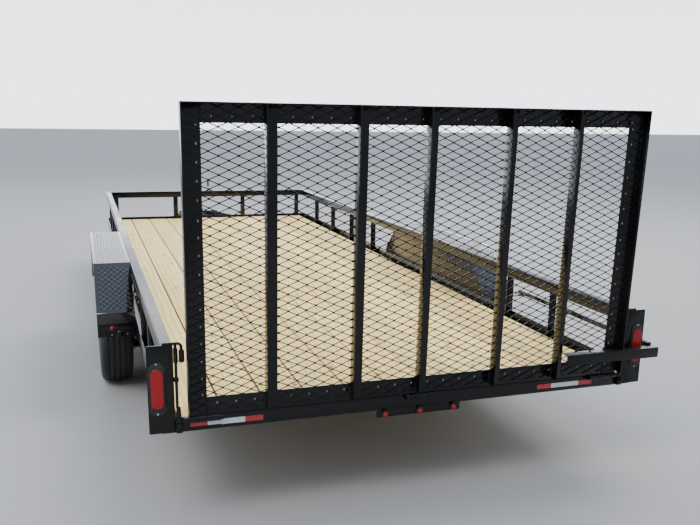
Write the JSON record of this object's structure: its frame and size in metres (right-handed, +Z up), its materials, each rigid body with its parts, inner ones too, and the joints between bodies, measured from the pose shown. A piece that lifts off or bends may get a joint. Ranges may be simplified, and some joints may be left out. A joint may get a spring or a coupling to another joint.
{
  "type": "tandem-axle utility trailer",
  "caption": "Open utility trailer on tandem axles: plank bed with low railing, box fenders, upright mesh ramp gate at the rear, A-frame tongue with ball coupler and jack.",
  "frame": {"origin": "floor level, under the middle of the whole trailer's box", "axes": "+Y forward towards the coupler, +X to the trailer's right, +Z up"},
  "size_m": [2.629, 7.6212, 1.6953],
  "materials": {
    "black_paint": "gloss",
    "pine": "sawn",
    "tyre_rubber": "matte",
    "wheel_paint": "gloss",
    "red_lens": "gloss",
    "zinc": "zinc plated"
  },
  "bodies": {
    "root": {"frame_side_right": "black_paint", "frame_side_left": "black_paint", "top_rail_right": "black_paint", "top_rail_left": "black_paint", "rear_posts_right": "black_paint", "rear_posts_left": "black_paint", "fore_posts_right": "black_paint", "fore_posts_left": "black_paint", "springs_right": "black_paint", "springs_left": "black_paint", "spring_hangers_right": "black_paint", "spring_hangers_left": "black_paint", "equaliser_right": "black_paint", "equaliser_left": "black_paint", "fender_right": "black_paint", "fender_left": "black_paint", "fender_back_right": "black_paint", "fender_back_left": "black_paint", "tail_plate_right": "black_paint", "tail_plate_left": "black_paint", "tongue_right": "black_paint", "tongue_left": "black_paint", "frame_rear": "black_paint", "frame_front": "black_paint", "cross_members": "black_paint", "deck_boards": "pine", "top_rail_front": "black_paint", "front_posts": "black_paint", "axle_rear": "black_paint", "axle_front": "black_paint", "tail_lamps": "red_lens", "id_lamp_bar": "black_paint", "frame_barrels": "black_paint", "coupler": "black_paint", "coupler_latch": "zinc", "jack_tube": "black_paint", "jack_crank": "zinc", "marker_lamps": "red_lens", "spring_clamps": "black_paint", "gate_latches": "black_paint"},
    "gate": {"gate_side_right": "black_paint", "gate_side_left": "black_paint", "gate_top": "black_paint", "gate_bottom": "black_paint", "gate_uprights": "black_paint", "gate_mesh_rising": "black_paint", "gate_mesh_falling": "black_paint", "gate_barrels": "black_paint", "lift_arm": "black_paint"},
    "jack_leg": {"jack_leg": "zinc"},
    "wheel_rear_right": {"tyre_rear_right": "tyre_rubber", "wheel_rear_right": "wheel_paint"},
    "wheel_front_right": {"tyre_front_right": "tyre_rubber", "wheel_front_right": "wheel_paint"},
    "wheel_rear_left": {"tyre_rear_left": "tyre_rubber", "wheel_rear_left": "wheel_paint"},
    "wheel_front_left": {"tyre_front_left": "tyre_rubber", "wheel_front_left": "wheel_paint"}
  },
  "joints": [
    {"name": "gate_hinge", "type": "hinge", "parent": "root", "child": "gate", "pos_m": [0, -3.71031, 0.464], "axis": [1, 0, 0], "range_deg": [0, 107]},
    {"name": "jack_slide", "type": "slide", "parent": "root", "child": "jack_leg", "axis": [0, 0, 1], "range_m": [0, 0.25]},
    {"name": "wheel_rear_right_spin", "type": "hinge", "parent": "root", "child": "wheel_rear_right", "pos_m": [1.2105, -1.66631, 0.342], "axis": [1, 0, 0], "continuous": true},
    {"name": "wheel_front_right_spin", "type": "hinge", "parent": "root", "child": "wheel_front_right", "pos_m": [1.2105, -0.82631, 0.342], "axis": [1, 0, 0], "continuous": true},
    {"name": "wheel_rear_left_spin", "type": "hinge", "parent": "root", "child": "wheel_rear_left", "pos_m": [-1.2105, -1.66631, 0.342], "axis": [1, 0, 0], "continuous": true},
    {"name": "wheel_front_left_spin", "type": "hinge", "parent": "root", "child": "wheel_front_left", "pos_m": [-1.2105, -0.82631, 0.342], "axis": [1, 0, 0], "continuous": true}
  ]
}
